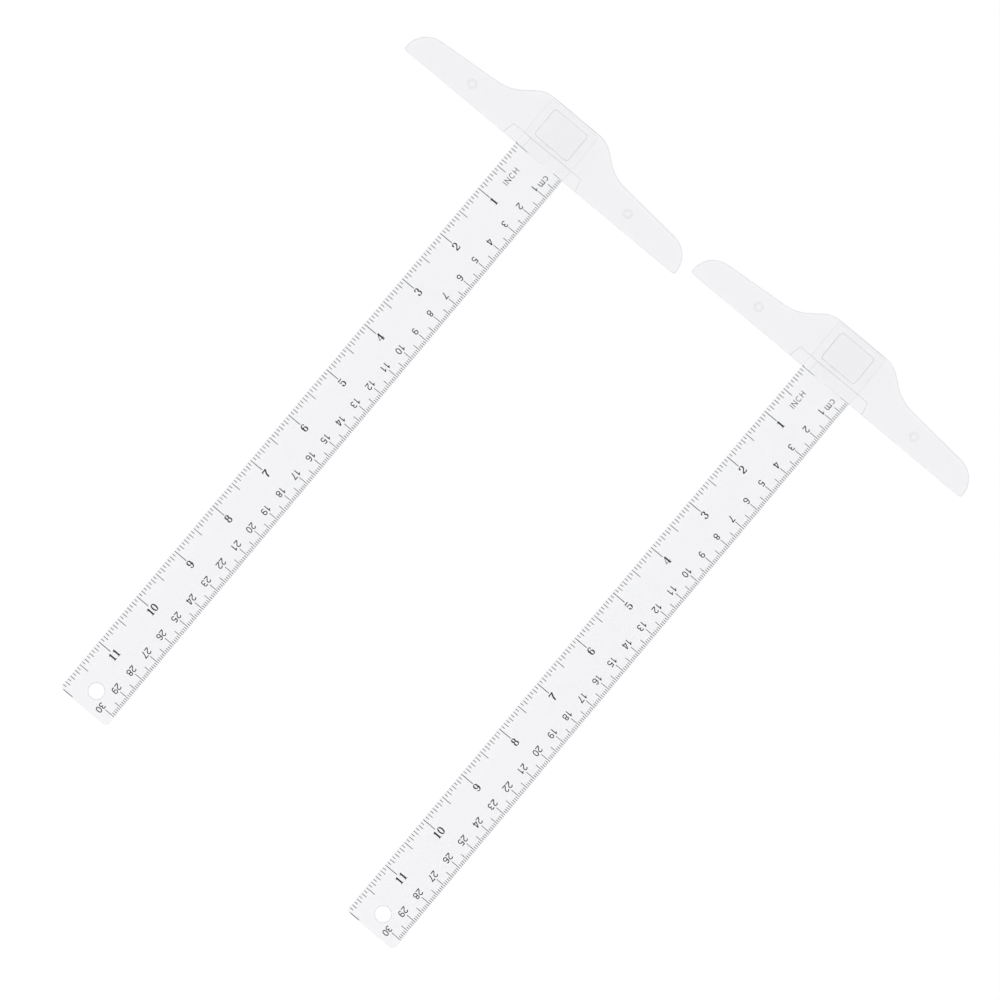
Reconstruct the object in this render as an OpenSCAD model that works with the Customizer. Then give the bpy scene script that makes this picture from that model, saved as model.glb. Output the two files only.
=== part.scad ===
// Pair of clear-plastic T-squares, each a humped head and a graduated blade that pushes into it.
// Millimetres, +Z up. Both squares lie on Z = 0 with their blades along Y and their heads along X.
// The origin is the middle of the pair's box, at its underside.
// Each square is drawn about its zero mark: the head's working edge is Y = 0, the blade runs to -Y,
// the centimetre scale is on the +X edge of the blade and the inch scale on the -X edge.

/* [Blade] */
// Length of the blade beyond the head's working edge
blade_reach = 305.2; // [200:0.1:400]
// Width of the blade
blade_w = 26; // [22:0.5:34]
// Thickness of the blade
blade_t = 1.5; // [1.2:0.1:2.5]
// Width of the bevel along the inch edge
bevel_w = 7.5; // [7:0.1:9]
// Loss of thickness at the bevel's outer edge
bevel_drop = 0.5; // [0.2:0.1:0.8]
// Radius of the two corners at the blade's tip
tip_r = 1.6; // [0.5:0.1:4]
// Radius of the two corners of the end inside the head
tongue_r = 0.8; // [0.2:0.1:2]
// Diameter of the hanging hole
hang_d = 7; // [4:0.5:10]
// Distance from the blade's tip to the centre of the hanging hole
hang_inset = 8.9; // [7:0.1:14]

/* [Head] */
// Length of the head along its working edge
head_l = 151; // [120:1:200]
// Thickness of the head under the blade, which catches the edge of a drawing board
lip_h = 1.2; // [0.8:0.1:3]
// Thickness of the head over the blade
roof_h = 1.3; // [1:0.1:3]
// Depth of the hump, from the working edge to its back
hump_d = 25.3; // [24:0.1:32]
// Depth of an arm where it meets the hump
arm_root_d = 15.6; // [13:0.1:18]
// Depth of an arm at its end, before the corner is rounded
arm_end_d = 11.8; // [8:0.1:14]
// Radius of the hump's shoulders
shoulder_r = 12; // [6:0.5:14]
// Radius of the hollow curve between hump and arm
hollow_r = 21; // [10:1:24]
// Radius of the back corner at the end of an arm
arm_end_r = 11.2; // [4:0.1:11.6]
// Radius of the corners at the ends of the working edge
edge_corner_r = 1.3; // [0.5:0.1:2]
// Thickness of the wall behind the end of the blade
back_wall = 1; // [0.8:0.1:3]

/* [Head details] */
// Height of the raised pad over the head
pad_h = 0.5; // [0.2:0.1:1.5]
// Depth of the pad, across the head
pad_d = 14.6; // [10:0.1:15]
// Distance from the working edge to the pad
pad_inset = 7.5; // [6:0.1:8]
// Radius of the pad's corners
pad_r = 1.5; // [0.5:0.1:3]
// Depth of the ledge, across the head
ledge_d = 5.5; // [3:0.1:6]
// Drop of the ledge below the head's top
ledge_drop = 0.4; // [0.2:0.1:0.8]
// Height of the relief in the socket's roof, under the ledge
relief_h = 0.3; // [0.1:0.05:0.6]
// Outer diameter of the ring mark under each arm
ring_outer_d = 4.3; // [3:0.1:6]
// Inner diameter of the ring mark under each arm
ring_inner_d = 2.4; // [1:0.1:2.8]
// Depth of the ring marks
ring_deep = 0.2; // [0.1:0.05:0.4]

/* [Scales] */
// Height of the printed lines over the blade
ink_h = 0.03; // [0.02:0.01:0.04]
// Distance from the blade's edge to the printed lines
ink_inset = 0.2; // [0.1:0.1:0.5]
// Width of a line of the centimetre scale
mm_line_w = 0.27; // [0.12:0.01:0.3]
// Width of a line of the inch scale
inch_line_w = 0.28; // [0.12:0.01:0.3]
// Width of the line at a whole inch
whole_inch_line_w = 0.32; // [0.12:0.01:0.4]

/* [Pair] */
// Gap between the ends of the two heads, along X
head_gap = 4.9; // [1:0.1:40]
// How far the right-hand square lies behind the left-hand one, along Y
stagger = 5.4; // [0:0.1:40]

/* [Hidden] */

fit = 0.05;                                // clearance on each side of the blade in its socket
through = 1;                               // how far a cut runs past the face that it opens

socket_top = lip_h + blade_t + fit;
head_h = socket_top + roof_h;
socket_half = blade_w / 2 + fit;
tongue_l = hump_d - back_wall;

hump_half = blade_w / 2 + 4.2;             // where the hump's back and its slope would meet
slope_run = 12.2;                          // how far the slope runs along the head
ledge_front_half = blade_w / 2 + 7.05;
ledge_back_half = blade_w / 2 + 5.6;
pad_w = blade_w - 7.4;
relief_d = ledge_d - 0.2;
ring_x = head_l / 2 - 32;
ring_y = arm_root_d / 2 - 0.5;

cm_ends = [1.8, 3.8, 5.0];                 // where 1, 5 and 10 mm lines end, from the blade's edge
inch_ends = [1.9, 2.7, 2.7, 4.8, 6.65];    // where 1/16, 1/8, 1/4, 1/2 and 1 inch lines end
inch = 25.4;
cm_count = floor((blade_reach - 4) / 10);  // the last numbered centimetre
inch_count = floor(blade_reach / inch);    // the last numbered inch

pair_pitch = head_l + head_gap;
middle_y = (hump_d + stagger - blade_reach) / 2;

// ---- Rounded outlines ----

function unit(v) = v / norm(v);

// Centre of the arc that rounds the corner b between the points a and c.
function arc_centre(a, b, c, r) =
    let (to_a = unit(a - b), to_c = unit(c - b))
    b + unit(to_a + to_c) * r / sin(acos(to_a * to_c) / 2);

// The point where that arc meets the edge from b to a.
function arc_end(a, b, c, r) =
    let (to_a = unit(a - b), to_c = unit(c - b))
    b + to_a * r / tan(acos(to_a * to_c) / 2);

// Whether the outline, going round to the left, bulges at b.
function bulges(a, b, c) = (b.x - a.x) * (c.y - b.y) > (b.y - a.y) * (c.x - b.x);

// What lies between the arc that rounds the corner b and the arc's chord.
module arc_segment(a, b, c, r) {
    intersection() {
        polygon([arc_end(a, b, c, r), b, arc_end(c, b, a, r)]);
        translate(arc_centre(a, b, c, r)) circle(r, $fn = 96);
    }
}

// A closed outline, going round to the left, with its corners given as [x, y, radius].
module rounded_outline(corners) {
    n = len(corners);
    at = [for (corner = corners) [corner.x, corner.y]];
    before = [for (i = [0 : n - 1]) at[(i + n - 1) % n]];
    after = [for (i = [0 : n - 1]) at[(i + 1) % n]];
    radius = [for (corner = corners) corner[2]];
    difference() {
        union() {
            polygon([for (i = [0 : n - 1]) each radius[i] == 0 ? [at[i]]
                : [arc_end(before[i], at[i], after[i], radius[i]),
                   arc_end(after[i], at[i], before[i], radius[i])]]);
            for (i = [0 : n - 1])
                if (radius[i] > 0 && bulges(before[i], at[i], after[i]))
                    arc_segment(before[i], at[i], after[i], radius[i]);
        }
        for (i = [0 : n - 1])
            if (radius[i] > 0 && !bulges(before[i], at[i], after[i]))
                arc_segment(before[i], at[i], after[i], radius[i]);
    }
}

// The corners of one side of the head, then the same mirrored, going once round.
head_side = [[head_l / 2, 0, edge_corner_r],
             [head_l / 2, arm_end_d, arm_end_r],
             [hump_half + slope_run, arm_root_d, hollow_r],
             [hump_half, hump_d, shoulder_r]];
head_corners = concat(head_side,
                      [for (i = [3 : -1 : 0]) [-head_side[i].x, head_side[i].y, head_side[i][2]]]);

blade_corners = [[-blade_w / 2, tongue_l, tongue_r], [-blade_w / 2, -blade_reach, tip_r],
                 [blade_w / 2, -blade_reach, tip_r], [blade_w / 2, tongue_l, tongue_r]];

pad_corners = [[-pad_w / 2, pad_inset, pad_r], [pad_w / 2, pad_inset, pad_r],
               [pad_w / 2, pad_inset + pad_d, pad_r], [-pad_w / 2, pad_inset + pad_d, pad_r]];

// ---- Pieces of one square ----

// A shallow ring sunk into the underside.
module ring_mark() {
    difference() {
        cylinder(d = ring_outer_d, h = 2 * ring_deep, center = true, $fn = 48);
        cylinder(d = ring_inner_d, h = 3 * ring_deep, center = true, $fn = 48);
    }
}

// The blade's seat, a relief over its mouth, and a window behind it to push the blade out through.
module socket() {
    translate([-socket_half, -through, lip_h])
        cube([2 * socket_half, tongue_l + through, socket_top - lip_h]);
    translate([-pad_w / 2, -through, lip_h])
        cube([pad_w, relief_d + through, socket_top - lip_h + relief_h]);
    translate([-pad_w / 2, 0, lip_h])
        cube([pad_w, hump_d + through, socket_top - lip_h]);
}

module ledge() {
    translate([0, 0, head_h - ledge_drop])
        linear_extrude(ledge_drop + through)
            polygon([[-ledge_front_half, 0], [-ledge_front_half, -through], [ledge_front_half, -through],
                     [ledge_front_half, 0], [ledge_back_half, ledge_d], [-ledge_back_half, ledge_d]]);
}

module head() {
    color("whitesmoke") {
        difference() {
            union() {
                linear_extrude(head_h) rounded_outline(head_corners);
                linear_extrude(head_h + pad_h) rounded_outline(pad_corners);
            }
            socket();
            ledge();
            for (side = [-1, 1]) translate([side * ring_x, ring_y, 0]) ring_mark();
        }
    }
}

module blade() {
    color("ghostwhite") {
        translate([0, 0, lip_h]) {
            difference() {
                linear_extrude(blade_t) rounded_outline(blade_corners);
                translate([0, hang_inset - blade_reach, -through])
                    cylinder(d = hang_d, h = blade_t + 2 * through, $fn = 96);
                bevel();
            }
        }
    }
}

// The wedge above the bevelled inch edge.
module bevel() {
    translate([-blade_w / 2, tongue_l + through, blade_t])
        rotate([90, 0, 0])
            linear_extrude(blade_reach + tongue_l + 2 * through)
                polygon([[0, -bevel_drop], [bevel_w, 0], [bevel_w, through], [-through, through],
                         [-through, -bevel_drop - bevel_drop * through / bevel_w]]);
}

module cm_line(mm) {
    end = mm % 10 == 0 ? cm_ends[2] : mm % 5 == 0 ? cm_ends[1] : cm_ends[0];
    translate([blade_w / 2 - end, -mm - mm_line_w / 2, lip_h + blade_t])
        cube([end - ink_inset, mm_line_w, ink_h]);
}

module cm_scale() {
    color("black") for (mm = [0 : 10 * cm_count]) cm_line(mm);
}

// A line of the inch scale lies on the slope of the bevel. The last one starts inside the rounded tip.
module inch_line(sixteenths) {
    kind = sixteenths % 16 == 0 ? 4 : sixteenths % 8 == 0 ? 3 : sixteenths % 4 == 0 ? 2
         : sixteenths % 2 == 0 ? 1 : 0;
    at = sixteenths * inch / 16;
    line_w = kind == 4 ? whole_inch_line_w : inch_line_w;
    ends = [at > blade_reach - tip_r ? tip_r : ink_inset, inch_ends[kind]];
    lift = [for (x = ends) bevel_drop * (x / bevel_w - 1)];
    translate([-blade_w / 2, -at + line_w / 2, lip_h + blade_t])
        rotate([90, 0, 0])
            linear_extrude(line_w)
                polygon([[ends[0], lift[0]], [ends[1], lift[1]],
                         [ends[1], lift[1] + ink_h], [ends[0], lift[0] + ink_h]]);
}

module inch_scale() {
    color("black") for (sixteenths = [0 : 16 * inch_count]) inch_line(sixteenths);
}

// ---- The two squares ----

module left() {
    translate([-pair_pitch / 2, -middle_y, 0]) children();
}

module right() {
    translate([pair_pitch / 2, stagger - middle_y, 0]) children();
}

left() head();  // left_head
left() blade();  // left_blade
left() cm_scale();  // left_cm_scale
left() inch_scale();  // left_inch_scale
right() head();  // right_head
right() blade();  // right_blade
right() cm_scale();  // right_cm_scale
right() inch_scale();  // right_inch_scale
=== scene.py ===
"""Looks of a pair of clear-plastic T-squares: rounded mouldings, printed numerals, clear plastic and ink.

Metres, +Z up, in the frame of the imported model. Each square lies on Z = 0 with its blade along -Y, the
centimetre edge at +X and the bevelled inch edge at -X. A square is drawn in millimetres from its zero
mark, the point where the blade's centreline meets the working edge of the head.
"""

import bmesh
import bpy
import numpy as np
from mathutils import Euler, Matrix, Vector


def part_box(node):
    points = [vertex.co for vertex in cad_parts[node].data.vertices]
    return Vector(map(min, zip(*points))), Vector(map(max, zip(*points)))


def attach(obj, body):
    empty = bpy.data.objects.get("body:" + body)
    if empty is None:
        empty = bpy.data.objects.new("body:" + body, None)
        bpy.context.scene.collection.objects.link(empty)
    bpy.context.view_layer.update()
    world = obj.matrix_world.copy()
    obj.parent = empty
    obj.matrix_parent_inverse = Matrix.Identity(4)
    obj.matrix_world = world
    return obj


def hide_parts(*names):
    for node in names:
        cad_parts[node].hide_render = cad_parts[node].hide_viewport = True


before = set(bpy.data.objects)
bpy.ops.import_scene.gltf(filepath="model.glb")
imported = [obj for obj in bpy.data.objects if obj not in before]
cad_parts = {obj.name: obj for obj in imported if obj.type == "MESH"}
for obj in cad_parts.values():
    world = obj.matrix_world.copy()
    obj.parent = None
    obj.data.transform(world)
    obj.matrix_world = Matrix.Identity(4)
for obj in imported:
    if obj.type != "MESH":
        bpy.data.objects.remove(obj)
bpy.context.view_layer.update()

MM = 0.001
INCH = 25.4
SIDES = ("left", "right")


# ---- Measures of a square, in millimetres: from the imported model, or else the maker's own ----

def corners(node):
    """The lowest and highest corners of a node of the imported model, in millimetres."""
    low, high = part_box(node)
    return np.array(low) / MM, np.array(high) / MM


def zero_mark(side):
    """Where a square's zero mark lies: on the blade's centreline, at the head's working edge."""
    blade_low, blade_high = corners(side + "_blade")
    return np.array([(blade_low[0] + blade_high[0]) / 2, corners(side + "_head")[0][1], 0.0])


BLADE_LOW, BLADE_HIGH = corners("left_blade")
BLADE_HALF = (BLADE_HIGH[0] - BLADE_LOW[0]) / 2
BLADE_TOP = BLADE_HIGH[2]
BLADE_REACH = zero_mark("left")[1] - BLADE_LOW[1]
INK_H = corners("left_cm_scale")[1][2] - BLADE_TOP
CM_COUNT = int((BLADE_REACH - 4) / 10)
INCH_COUNT = int(BLADE_REACH / INCH)

BEVEL_W = 7.5                # width of the slope along the inch edge
BEVEL_DROP = 0.5             # how far the slope's outer edge lies below the blade's top
HANG_INSET = 8.9             # from the blade's tip to the middle of the hanging hole
HANG_RIM = 4.5               # a circle that holds the hanging hole and its rim
RING_X, RING_Y = 43.5, 7.3   # middle of the ring mark under each arm
RING_RIM = 3.0               # a circle that holds a ring mark
AIR_FILM = 0.02              # between the blade and the floor of its socket

SAME_PLACE = 0.001           # points closer than this are one
FLAT = np.radians(0.3)       # faces that meet at less than this are one face
SHARP = np.radians(30)       # edges that turn by more than this are rounded


# ---- Node trees ----

CLEAN_TONE = (1.0, 1.0, 1.0)
# Painted shade: the tone laid on rounded edges and in ring marks, standing in for the dark lines that light
# gives there.
PAINTED_EDGE_SHADE_TONE = (0.62, 0.62, 0.63)
THICK_TONE = (0.50, 0.50, 0.54, 1.0)   # what a thick piece of the plastic turns to
HAZE_SWING = 0.004                     # how far the haze moves a tone either way


class Value:
    """A number or colour that a node gives, which arithmetic turns into Math nodes."""

    def __init__(self, tree, socket):
        self.tree = tree
        self.socket = socket

    def reckon(self, operation, first, second):
        node = self.tree.nodes.new("ShaderNodeMath")
        node.operation = operation
        for place, term in zip(node.inputs, (first, second), strict=False):
            connect(self.tree, term, place)
        return Value(self.tree, node.outputs[0])

    def __add__(self, other):
        return self.reckon("ADD", self, other)

    def __sub__(self, other):
        return self.reckon("SUBTRACT", self, other)

    def __rsub__(self, other):
        return self.reckon("SUBTRACT", other, self)

    def __mul__(self, other):
        return self.reckon("MULTIPLY", self, other)

    __radd__ = __add__
    __rmul__ = __mul__


def connect(tree, term, place):
    """Links a value to a socket, or sets the socket to a plain number or colour."""
    if isinstance(term, Value):
        tree.links.new(term.socket, place)
    else:
        place.default_value = term


class Finish:
    """A material under construction."""

    def __init__(self, name):
        self.material = bpy.data.materials.new(name)
        self.material.use_nodes = True
        self.tree = self.material.node_tree
        self.tree.nodes.clear()

    def add(self, kind, settings, sockets, result=0):
        """Adds a node: its settings first, then what goes into its sockets, by name or number."""
        node = self.tree.nodes.new(kind)
        for name, value in settings.items():
            setattr(node, name, value)
        for name, term in sockets.items():
            connect(self.tree, term, node.inputs[name])
        return Value(self.tree, node.outputs[result])

    def noise(self, place, scale, detail, roughness=0.5):
        """Fractal noise between 0 and 1 at a place."""
        return self.add("ShaderNodeTexNoise", {},
                        {"Vector": place, "Scale": scale, "Detail": detail, "Roughness": roughness})

    def blend(self, share, first, second):
        """A colour between two colours, the first of which may come from a node."""
        start = first if isinstance(first, Value) else (*first, 1.0)
        return self.add("ShaderNodeMix", {"data_type": "RGBA"},
                        {"Factor": share, 6: start, 7: (*second, 1.0)}, result=2)

    def close(self, shader, inside=None):
        """Links the shader to the surface, and what fills the piece to its volume. Gives the material."""
        output = self.tree.nodes.new("ShaderNodeOutputMaterial")
        self.tree.links.new(shader.socket, output.inputs["Surface"])
        if inside is not None:
            self.tree.links.new(inside.socket, output.inputs["Volume"])
        return self.material


def clear_plastic(name, shade, roughness, ripple, density):
    """Clear moulded plastic: slow flow ripples, a fine grain and handling haze, darker as it gets thicker.

    shade is the tone of its handled faces. The attribute "clean" clears those that no hand reaches, and
    "painted_edge_shade" paints shade on the edges and in the ring marks, and roughens them. Lamps shine
    through the plastic.
    """
    finish = Finish(name)
    place = finish.add("ShaderNodeTexCoord", {}, {}, result="Object")
    along = finish.add("ShaderNodeMapping", {}, {"Vector": place, "Scale": (900.0, 40.0, 40.0)})
    flow = finish.noise(place, 45.0, 2.0)
    grit = finish.noise(place, 2200.0, 2.0)
    rubbing = finish.noise(along, 1.0, 3.0, 0.6)
    haze = finish.noise(place, 24.0, 4.0, 0.65)
    painted_edge_shade = finish.add("ShaderNodeAttribute", {"attribute_name": "painted_edge_shade"}, {}, result="Fac")
    clean = finish.add("ShaderNodeAttribute", {"attribute_name": "clean"}, {}, result="Fac")
    handled = finish.blend(haze, [tone + HAZE_SWING for tone in shade], [tone - HAZE_SWING for tone in shade])
    height = flow * ripple + grit * 0.02 + rubbing * 0.02
    normal = finish.add("ShaderNodeBump", {}, {"Strength": 0.4, "Distance": 0.0002, "Height": height})
    # Base Color carries painted shade on the rounded edges and in the ring marks, over the handled tone.
    plastic = finish.add("ShaderNodeBsdfPrincipled", {}, {
        "Base Color": finish.blend(painted_edge_shade, finish.blend(clean, handled, CLEAN_TONE), PAINTED_EDGE_SHADE_TONE),
        "Roughness": haze * 0.06 + rubbing * 0.03 + painted_edge_shade * 0.12 + roughness,
        "IOR": 1.5,
        "Transmission Weight": 1.0,
        "Normal": normal,
    })
    lit_through = finish.add("ShaderNodeBsdfTransparent", {}, {})
    bounced = finish.add("ShaderNodeLightPath", {}, {}, result="Is Diffuse Ray")
    from_lamp = finish.add("ShaderNodeLightPath", {}, {}, result="Is Shadow Ray")
    seen = finish.add("ShaderNodeMixShader", {}, {0: bounced, 1: plastic, 2: lit_through})
    surface = finish.add("ShaderNodeMixShader", {}, {0: from_lamp, 1: seen, 2: lit_through})
    inside = finish.add("ShaderNodeVolumeAbsorption", {}, {"Color": THICK_TONE, "Density": density})
    return finish.close(surface, inside)


def printing_ink(name):
    """Black printing ink: slightly uneven in tone and gloss, with a fine dry grain."""
    finish = Finish(name)
    place = finish.add("ShaderNodeTexCoord", {}, {}, result="Object")
    spread = finish.noise(place, 350.0, 3.0)
    grain = finish.noise(place, 9000.0, 2.0)
    normal = finish.add("ShaderNodeBump", {}, {"Strength": 0.3, "Distance": 0.00002, "Height": grain})
    return finish.close(finish.add("ShaderNodeBsdfPrincipled", {}, {
        "Base Color": finish.blend(spread, (0.010, 0.010, 0.012), (0.030, 0.030, 0.034)),
        "Roughness": spread * 0.25 + 0.55,
        "Specular IOR Level": 0.15,
        "Normal": normal,
    }))


# ---- Meshes ----

def spare_the_floor(piece):
    """Keeps fine printing from shading the floor under the plastic, which broad soft light would wash out."""
    piece.visible_shadow = False
    piece.visible_diffuse = False


def new_piece(name, mesh, side, part, materials):
    """A piece that moves with a body and takes its finish from a slot."""
    piece = bpy.data.objects.new(name, mesh)
    bpy.context.scene.collection.objects.link(piece)
    for material in materials:
        mesh.materials.append(material)
    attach(piece, side + "_" + part)
    return piece


def vectors(items, name):
    """A vector property of all the vertices or faces of a mesh, a row for each."""
    values = np.empty(3 * len(items), dtype=np.float32)
    items.foreach_get(name, values)
    return values.reshape(-1, 3)


def sharp_shape(side, part, edges_at, air_film):
    """A node's shape ready for rounding, and its largest radius in millimetres.

    The node's triangles are merged into whole faces, and a cut in line with the head's working edge parts
    the faces in the socket from those outside. The underside is raised by a film of air. Each sharp
    outward edge gets a weight: the radius that edges_at gives for its middle, over the largest radius.
    """
    mark = zero_mark(side)
    work = bmesh.new()
    work.from_mesh(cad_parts[side + "_" + part].data)
    bmesh.ops.remove_doubles(work, verts=work.verts, dist=SAME_PLACE * MM)
    bmesh.ops.dissolve_limit(work, angle_limit=FLAT, verts=work.verts, edges=work.edges)
    bmesh.ops.bisect_plane(work, geom=work.verts[:] + work.edges[:] + work.faces[:],
                           plane_co=(mark * MM).tolist(), plane_no=(0, 1, 0), dist=SAME_PLACE * MM)
    middles = np.array([(edge.verts[0].co + edge.verts[1].co) / 2 for edge in work.edges]) / MM - mark
    sharp = np.array([edge.calc_face_angle(0.0) > SHARP for edge in work.edges])
    outward = np.array([edge.is_convex for edge in work.edges])
    shape = bpy.data.meshes.new(side + "_" + part + "_sharp")
    work.to_mesh(shape)
    work.free()
    points = vectors(shape.vertices, "co")
    points[points[:, 2] < points[:, 2].min() + SAME_PLACE * MM, 2] += air_film * MM
    shape.vertices.foreach_set("co", points.ravel())
    shape.attributes.remove(shape.attributes["custom_normal"])
    shape.shade_smooth()
    radii = np.where(sharp & outward, edges_at(*middles.T)[0], 0.0)
    weights = shape.attributes.new("bevel_weight_edge", "FLOAT", "EDGE")
    weights.data.foreach_set("value", radii / radii.max())
    shape.attributes.new("sharp_edge", "BOOLEAN", "EDGE").data.foreach_set("value", sharp & (radii == 0))
    return shape, radii.max()


def rounded_shape(piece, radius):
    """The piece's mesh after a Bevel modifier has rounded its weighted edges, with the new faces in the
    second slot."""
    rounding = piece.modifiers.new("rounding", "BEVEL")
    rounding.limit_method = "WEIGHT"
    rounding.width = radius * MM
    rounding.segments = 4
    rounding.use_clamp_overlap = False
    rounding.harden_normals = True
    rounding.material = 1
    rounding.loop_slide = False
    shape = bpy.data.meshes.new_from_object(piece.evaluated_get(bpy.context.evaluated_depsgraph_get()))
    piece.modifiers.clear()
    return shape


def moulding(side, part, edges_at, air_film, material):
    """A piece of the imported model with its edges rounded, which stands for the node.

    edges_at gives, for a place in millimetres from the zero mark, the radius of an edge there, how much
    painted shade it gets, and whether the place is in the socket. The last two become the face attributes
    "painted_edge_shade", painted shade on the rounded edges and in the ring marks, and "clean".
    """
    node = side + "_" + part
    sharp, radius = sharp_shape(side, part, edges_at, air_film)
    piece = new_piece(node + "_moulding", sharp, side, part, [material, material])
    shape = rounded_shape(piece, radius)
    x, y, z = (vectors(shape.polygons, "center") / MM - zero_mark(side)).T
    rounded = np.empty(len(shape.polygons), dtype=np.int32)
    shape.polygons.foreach_get("material_index", rounded)
    in_ring_mark = near_ring(x, y) & (z > 0.05) & (z < 0.5)
    _, painted_edge_shade, clean = edges_at(x, y, z)
    # Painted shade goes on the rounded edges and in the ring marks.
    for name, values in (("painted_edge_shade", painted_edge_shade * (in_ring_mark | (rounded == 1))), ("clean", 1.0 * clean)):
        shape.attributes.new(name, "FLOAT", "FACE").data.foreach_set("value", values)
    shape.polygons.foreach_set("material_index", 0 * rounded)
    shape.materials.pop()
    shape.name = piece.name
    piece.data = shape
    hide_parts(node)


def near_ring(x, y):
    """Whether a place on the head is within the ring mark under one of its arms."""
    return np.hypot(abs(x) - RING_X, y - RING_Y) < RING_RIM


def head_edges(x, y, z):
    """The head's edges and the painted shade along them: no painted shade in the socket, and faint painted
    shade in the ring marks and along the working edge."""
    in_socket = (abs(x) < BLADE_HALF + 1) & (z > BLADE_LOW[2] - 0.2) & (z < BLADE_TOP + 0.5)
    in_ring = near_ring(x, y) & (z < 0.5)
    radius = np.where(in_socket, 0.1, np.where(in_ring, 0.05, np.where(z > 3, 0.3, 0.22)))
    # Painted shade along the edges: none in the socket, faint in the ring marks and along the working edge.
    painted_edge_shade = np.where(in_socket, 0.0, np.where(in_ring | (y < 0.3), 0.35, 1.0))
    return radius, painted_edge_shade, in_socket & (y > 0.1)


def blade_edges(x, y, z):
    """The blade's edges, which are rounder and carry darker painted shade at the hanging hole. They have the
    same look at every height."""
    at_hole = np.hypot(x, y + BLADE_REACH - HANG_INSET) < HANG_RIM
    # The second value is painted shade: full at the hanging hole, half along the other edges.
    return np.where(at_hole, 0.3, 0.14), np.where(at_hole, 1.0, 0.5), y > 0


# ---- Strokes of the lettering: paths in a box one unit high, with the baseline at v = 0 ----

def straight(start, end):
    """A straight stretch."""
    return np.linspace(start, end, 2)


def arc(centre, radii, first, last, steps=16):
    """A stretch of an ellipse: centre + radii * (cos, sin) of an angle from first to last, in degrees."""
    angle = np.radians(np.linspace(first, last, steps))
    return np.array(centre) + np.array(radii) * np.stack([np.cos(angle), np.sin(angle)], axis=1)


def sweep(start, pull_a, pull_b, end, steps=10):
    """A cubic Bezier stretch: start, two pulls and end, weighted by the Bernstein polynomials of t."""
    t = np.linspace(0, 1, steps)[:, None]
    first = (1 - t) ** 3 * np.array(start) + 3 * (1 - t) ** 2 * t * np.array(pull_a)
    return first + 3 * (1 - t) * t ** 2 * np.array(pull_b) + t ** 3 * np.array(end)


def chain(*stretches):
    """Stretches joined end to end, without the points that would come twice."""
    path = np.concatenate(stretches)
    return path[np.append(True, np.hypot(*np.diff(path, axis=0).T) > 1e-4)]


def dot(centre, radius):
    """A round spot as a stroke: chords of a circle, from its lowest point to its highest."""
    angle = np.radians(np.linspace(10, 170, 11))
    path = np.stack([np.full(11, centre[0]), centre[1] - radius * np.cos(angle)], axis=1)
    return path, 2 * radius * np.sin(angle)


def pen(path, thick, thin):
    """A stroke drawn with a broad nib: thick where the path runs upright, thin where it runs level."""
    along = np.gradient(path, axis=0)
    upright = abs(along[:, 1]) / np.hypot(*along.T)
    return path, thin + (thick - thin) * upright ** 1.6


def even(path, width):
    """A stroke of one width."""
    return path, np.full(len(path), float(width))


def half_turn(strokes):
    """The strokes turned half a turn about the middle of their box."""
    return [(np.array([0.0, 1.0]) - path, width) for path, width in strokes]


SANS_W = 0.135


def sans_figures():
    """Plain figures with strokes of one width."""
    six = [arc((0, 0.305), (0.215, 0.24), 90, 450, 24),
           chain(arc((0.005, 0.50), (0.22, 0.43), 182, 90, 10), arc((0.0, 0.72), (0.2, 0.21), 90, 25, 6))]
    paths = {
        "0": [arc((0, 0.5), (0.215, 0.432), 90, 450, 28)],
        "1": [straight((0.06, 0), (0.06, 1)),
              sweep((0.04, 0.96), (0.0, 0.80), (-0.08, 0.76), (-0.18, 0.755))],
        "2": [chain(arc((0, 0.70), (0.205, 0.232), 168, -25),
                    sweep((0.186, 0.602), (0.12, 0.40), (-0.17, 0.34), (-0.215, 0.07))),
              straight((-0.27, 0.065), (0.27, 0.065))],
        "3": [arc((-0.01, 0.735), (0.19, 0.197), 155, -88),
              arc((-0.01, 0.30), (0.22, 0.235), 88, -158),
              straight((-0.08, 0.535), (0.03, 0.535))],
        "4": [straight((0.08, 0.98), (-0.25, 0.26)), straight((-0.29, 0.25), (0.27, 0.25)),
              straight((0.12, 0), (0.12, 1))],
        "5": [straight((-0.15, 0.935), (0.22, 0.935)), straight((-0.13, 0.97), (-0.19, 0.47)),
              arc((0.0, 0.325), (0.215, 0.26), 142, -155)],
        "7": [straight((-0.25, 0.935), (0.26, 0.935)),
              sweep((0.225, 0.93), (0.02, 0.66), (-0.07, 0.36), (-0.09, 0.0))],
        "8": [arc((0, 0.735), (0.18, 0.197), 90, 450, 22), arc((0, 0.305), (0.215, 0.238), 90, 450, 24)],
    }
    figures = {name: [even(path, SANS_W) for path in strokes] for name, strokes in paths.items()}
    figures["6"] = [even(path, SANS_W) for path in six]
    figures["9"] = half_turn(figures["6"])
    return figures


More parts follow.
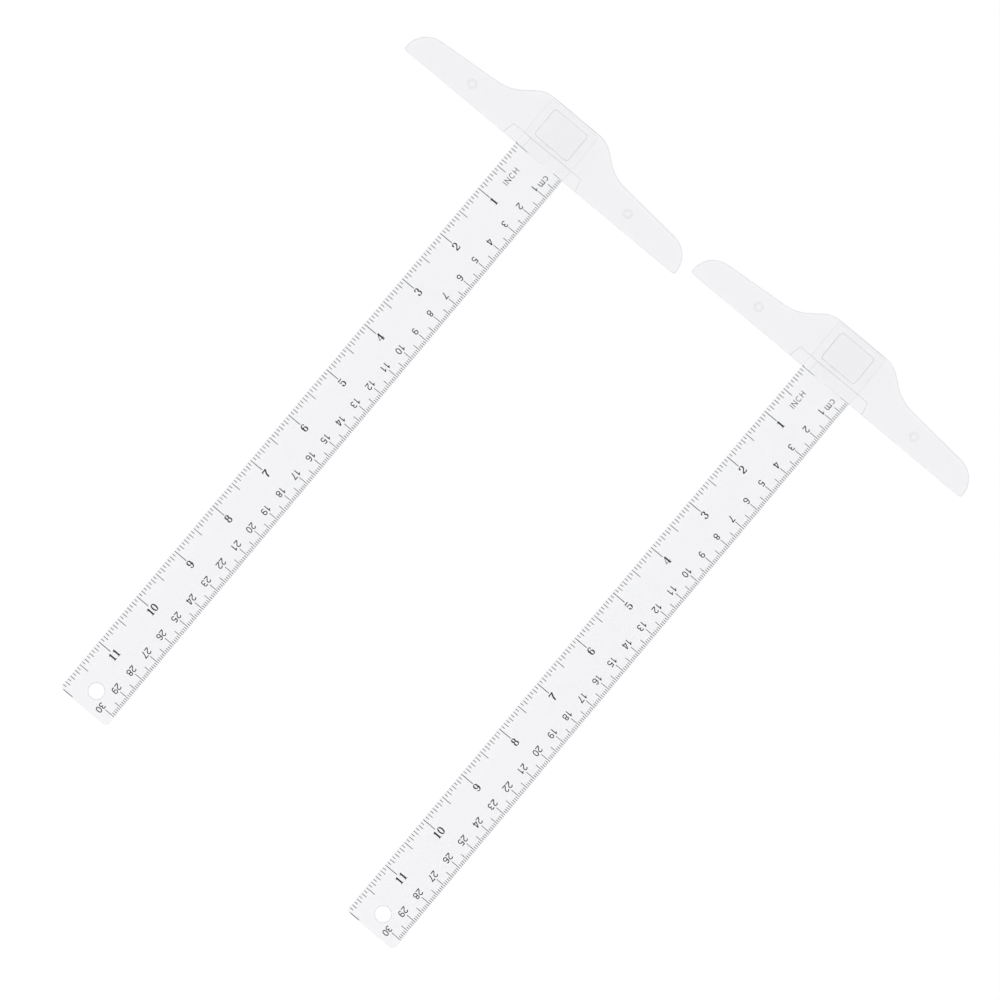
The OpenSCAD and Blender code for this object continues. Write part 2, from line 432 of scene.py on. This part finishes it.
def book_figures():
    """Bold figures with thick stems, thin joins, serifs and round terminals."""
    thick, thin, serif, drop = 0.18, 0.075, 0.06, 0.085
    six = [pen(arc((0.02, 0.31), (0.19, 0.275), 90, 450, 26), thick, thin),
           pen(arc((0.08, 0.5), (0.28, 0.46), 182, 70, 14), thick, thin),
           dot((0.19, 0.83), drop)]
    return {
        "0": [pen(arc((0, 0.5), (0.21, 0.46), 90, 450, 30), thick, thin)],
        "1": [even(straight((0, 0.02), (0, 1.0)), 0.21), even(straight((-0.2, 0.03), (0.2, 0.03)), serif),
              even(sweep((0.0, 0.97), (-0.05, 0.86), (-0.12, 0.83), (-0.2, 0.83)), thin)],
        "2": [dot((-0.17, 0.74), drop + 0.015),
              pen(chain(arc((0, 0.71), (0.21, 0.255), 170, -25),
                        sweep((0.19, 0.602), (0.11, 0.40), (-0.18, 0.28), (-0.23, 0.08))), thick, thin),
              even(sweep((-0.25, 0.07), (-0.08, 0.16), (0.08, 0.0), (0.22, 0.08)), 0.13),
              even(straight((0.22, 0.05), (0.28, 0.27)), serif)],
        "3": [dot((-0.17, 0.79), drop), dot((-0.18, 0.2), drop + 0.015),
              pen(arc((-0.01, 0.745), (0.18, 0.215), 150, -88), thick, thin),
              pen(arc((-0.02, 0.285), (0.22, 0.25), 88, -150), thick, thin)],
        "4": [even(straight((0.12, 0.02), (0.12, 1.0)), 0.2),
              even(straight((0.1, 0.97), (-0.28, 0.28)), thin),
              even(straight((-0.31, 0.27), (0.33, 0.27)), thin),
              even(straight((-0.05, 0.03), (0.29, 0.03)), serif)],
        "5": [even(sweep((-0.19, 0.95), (-0.06, 0.87), (0.06, 0.87), (0.22, 0.95)), 0.13),
              even(straight((-0.19, 0.97), (-0.2, 0.5)), serif), dot((-0.17, 0.22), drop + 0.015),
              pen(arc((0.0, 0.315), (0.21, 0.28), 140, -150), thick, thin)],
        "6": six,
        "7": [even(sweep((-0.24, 0.86), (-0.1, 0.98), (0.08, 0.82), (0.27, 0.95)), 0.15),
              even(straight((-0.25, 0.99), (-0.25, 0.7)), serif),
              pen(sweep((0.26, 0.95), (0.06, 0.62), (-0.06, 0.42), (-0.06, 0.08)), 0.2, thin),
              dot((-0.06, 0.1), 0.1)],
        "8": [pen(arc((0, 0.75), (0.165, 0.215), 90, 450, 24), 0.19, thin),
              pen(arc((0, 0.285), (0.2, 0.25), 90, 450, 26), thick, thin)],
        "9": half_turn(six),
    }


def unit_letters():
    """Thin plain letters of the two unit labels. A letter's width comes first."""
    w = 0.11
    hump = [straight((0, 0), (0, 1)), arc((0.26, 0.62), (0.26, 0.31), 180, 0),
            straight((0.52, 0.62), (0.52, 0))]
    return {
        "c": (0.86, [even(arc((0.43, 0.5), (0.37, 0.43), 50, 310, 20), 0.15)]),
        "m": (1.25, [even(path + np.array([0.08, 0]), 0.15) for path in hump]
              + [even(path + np.array([0.60, 0]), 0.15) for path in hump[1:]]),
        "I": (0.14, [even(straight((0.07, 0), (0.07, 1)), w)]),
        "N": (0.74, [even(straight((0.06, 0), (0.06, 1)), w), even(straight((0.06, 0.98), (0.68, 0.02)), w),
                     even(straight((0.68, 0), (0.68, 1)), w)]),
        "C": (0.80, [even(arc((0.41, 0.5), (0.35, 0.44), 42, 318, 22), w)]),
        "H": (0.74, [even(straight((0.06, 0), (0.06, 1)), w), even(straight((0.68, 0), (0.68, 1)), w),
                     even(straight((0.06, 0.52), (0.68, 0.52)), w)]),
    }


def word(letters, text, gap):
    """The strokes of a label, letter after letter with a gap between, with u = 0 at its middle."""
    strokes, at = [], 0.0
    for letter in text:
        width, letter_strokes = letters[letter]
        strokes += [(path + np.array([at, 0]), stroke_w) for path, stroke_w in letter_strokes]
        at += width + gap
    middle = np.array([(at - gap) / 2, 0])
    return [(path - middle, stroke_w) for path, stroke_w in strokes]


def number(figures, value, pitch, spread):
    """The strokes of a number, each figure spread sideways, one pitch apart, with u = 0 at its middle."""
    text = str(value)
    return [(path * np.array([spread, 1]) + np.array([(i - (len(text) - 1) / 2) * pitch, 0]), stroke_w)
            for i, figure in enumerate(text) for path, stroke_w in figures[figure]]


def plastic_top(x):
    """Height of the blade's top at a distance from its centreline: level, then down the bevel."""
    return BLADE_TOP - BEVEL_DROP * np.clip(-x - (BLADE_HALF - BEVEL_W), 0, BEVEL_W) / BEVEL_W


def ribbon(path, width):
    """A printed stroke: a flat rectangular section carried along its path and laid on the plastic.

    The section's corners lie half a width to the left and right of the path, on the plastic and one
    thickness of ink above it.
    """
    along = np.gradient(path, axis=0)
    across = np.stack([-along[:, 1], along[:, 0]], axis=1) / np.hypot(*along.T)[:, None]
    left = path + across * width[:, None] / 2
    right = path - across * width[:, None] / 2
    section = np.stack([left, right, right, left], axis=1)
    height = plastic_top(section[..., 0]) + INK_H * np.array([0, 0, 1, 1])
    points = np.concatenate([section, height[..., None]], axis=2).reshape(-1, 3)
    start = 4 * np.arange(len(path) - 1)[:, None]
    side = np.arange(4)[None]
    after = (side + 1) % 4
    walls = np.stack([start + side, start + 4 + side, start + 4 + after, start + after], axis=2)
    ends = np.array([[0, 1, 2, 3], np.arange(len(points) - 1, len(points) - 5, -1)])
    return points, np.concatenate([walls.reshape(-1, 4), ends])


def printed(name, side, labels, material):
    """One piece of printing on the blade. Each label gives its strokes, its height, and where it stands:
    the x of its baseline, the y of its middle, and 1 to read towards the tip or -1 towards the head."""
    points, faces, count = [], [], 0
    for strokes, height, x, y, turn in labels:
        baseline = np.array([x, y])
        right, up = np.array([0, -turn]), np.array([turn, 0])
        for path, width in strokes:
            placed = baseline + height * (path[:, :1] * right + path[:, 1:] * up)
            ribbon_points, ribbon_faces = ribbon(placed, height * width)
            points.append(ribbon_points)
            faces.append(ribbon_faces + count)
            count += len(ribbon_points)
    mesh = bpy.data.meshes.new(name)
    mesh.from_pydata(((np.concatenate(points) + zero_mark(side)) * MM).tolist(), [],
                     np.concatenate(faces).tolist())
    spare_the_floor(new_piece(name, mesh, side, "blade", [material]))


FIGURE_PITCH = 0.70       # from figure to figure of a number, in figure heights
TO_TIP, TO_HEAD = 1, -1   # which way a label reads


def cm_numerals(side, material):
    """The unit and the numbers from 1 along the centimetre edge. The last number sits clear of its line."""
    figure_h, unit_h, last_shift = 3.15, 2.3, 0.6
    baseline, unit_baseline = BLADE_HALF - 8.65, BLADE_HALF - 7.35
    figures = sans_figures()
    labels = [(word(unit_letters(), "cm", 0.12), unit_h, unit_baseline, -5.4, TO_TIP)]
    for n in range(1, CM_COUNT + 1):
        y = -10.0 * n - (last_shift if n == CM_COUNT else 0)
        labels.append((number(figures, n, FIGURE_PITCH, 1.13), figure_h, baseline, y, TO_TIP))
    printed(side + "_cm_numerals", side, labels, material)


def inch_numerals(side, material):
    """The unit and the numbers from 1 along the inch edge. The line at the blade's tip has no number."""
    figure_h, unit_h = 3.6, 2.6
    baseline, unit_baseline = 10.8 - BLADE_HALF, 9.2 - BLADE_HALF
    figures = book_figures()
    labels = [(word(unit_letters(), "INCH", 0.26), unit_h, unit_baseline, -12.6, TO_HEAD)]
    for n in range(1, INCH_COUNT):
        labels.append((number(figures, n, FIGURE_PITCH, 1.15), figure_h, baseline, -INCH * n, TO_HEAD))
    printed(side + "_inch_numerals", side, labels, material)


# ---- Studio ----

def plain(name, colour, roughness):
    """A plain matt finish for the floor, with a faint tooth."""
    finish = Finish(name)
    place = finish.add("ShaderNodeTexCoord", {}, {}, result="Object")
    tooth = finish.noise(place, 40.0, 2.0)
    return finish.close(finish.add("ShaderNodeBsdfPrincipled", {}, {
        "Base Color": finish.blend(tooth, colour, [0.995 * c for c in colour]),
        "Roughness": roughness,
        "Specular IOR Level": 0.0,
    }))


def floor():
    """A pale square floor just under the squares."""
    half, drop = 6.0, 0.0001
    mesh = bpy.data.meshes.new("floor")
    mesh.from_pydata([(x, y, -drop) for x, y in ((-half, -half), (half, -half), (half, half), (-half, half))],
                     [], [(0, 1, 2, 3)])
    mesh.materials.append(plain("pale_floor", (0.86, 0.86, 0.86), 0.9))
    piece = bpy.data.objects.new("floor", mesh)
    bpy.context.scene.collection.objects.link(piece)


def softbox(name, azimuth, elevation, distance, size, power):
    """A square area lamp aimed at the middle of the floor, which the camera doesn't see."""
    lamp = bpy.data.lights.new(name, "AREA")
    lamp.shape = "SQUARE"
    lamp.size = size
    lamp.energy = power
    holder = bpy.data.objects.new(name, lamp)
    turn, tilt = np.radians(azimuth), np.radians(elevation)
    level = distance * np.cos(tilt)
    holder.location = (level * np.sin(turn), -level * np.cos(turn), distance * np.sin(tilt))
    holder.rotation_euler = Euler((np.pi / 2 - tilt, 0.0, turn))
    holder.visible_camera = False
    bpy.context.scene.collection.objects.link(holder)


def studio():
    """A surround that is bright overhead and greyer towards the horizon, and three large softboxes."""
    world = bpy.data.worlds.new("studio")
    world.use_nodes = True
    tree = world.node_tree
    direction = tree.nodes.new("ShaderNodeTexCoord")
    parts = tree.nodes.new("ShaderNodeSeparateXYZ")
    rise = tree.nodes.new("ShaderNodeMapRange")
    rise.interpolation_type = "SMOOTHSTEP"
    for name, value in (("From Max", 0.9), ("To Min", 0.35), ("To Max", 1.1)):
        rise.inputs[name].default_value = value
    background = tree.nodes["Background"]
    background.inputs["Color"].default_value = (0.985, 0.985, 1.0, 1.0)
    tree.links.new(direction.outputs["Generated"], parts.inputs[0])
    tree.links.new(parts.outputs["Z"], rise.inputs["Value"])
    tree.links.new(rise.outputs[0], background.inputs["Strength"])
    scene = bpy.context.scene
    scene.world = world
    scene.view_settings.view_transform = "Standard"
    scene.view_settings.look = "None"
    softbox("left_front", 315, 48, 3.2, 2.0, 14.5)
    softbox("right_front", 45, 48, 3.2, 2.0, 14.5)
    softbox("back", 180, 42, 3.4, 2.4, 17.5)


def camera():
    """A long lens looking straight down, turned so that the blades run from lower left to upper right."""
    lens = bpy.data.cameras.new("camera")
    lens.lens = 400.0
    lens.sensor_width = 36.0
    lens.clip_end = 50.0
    eye = bpy.data.objects.new("camera", lens)
    middle_x, middle_y, span = 0.00235, 0.01505, 0.4294
    eye.location = (middle_x, middle_y, span * lens.lens / lens.sensor_width + BLADE_TOP * MM)
    eye.rotation_euler = Euler((0.0, 0.0, np.radians(39.893)))
    bpy.context.scene.collection.objects.link(eye)
    bpy.context.scene.camera = eye


camera()
studio()
floor()

head_plastic = clear_plastic("clear_head_plastic", (0.934, 0.934, 0.940), 0.01, 0.6, 15.0)
blade_plastic = clear_plastic("clear_blade_plastic", (0.938, 0.938, 0.943), 0.0, 0.4, 36.0)
ink = printing_ink("black_ink")
for side in SIDES:
    moulding(side, "head", head_edges, 0.0, head_plastic)
    moulding(side, "blade", blade_edges, AIR_FILM, blade_plastic)
    for scale in ("_cm_scale", "_inch_scale"):
        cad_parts[side + scale].material_slots[0].material = ink
        spare_the_floor(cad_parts[side + scale])
    cm_numerals(side, ink)
    inch_numerals(side, ink)
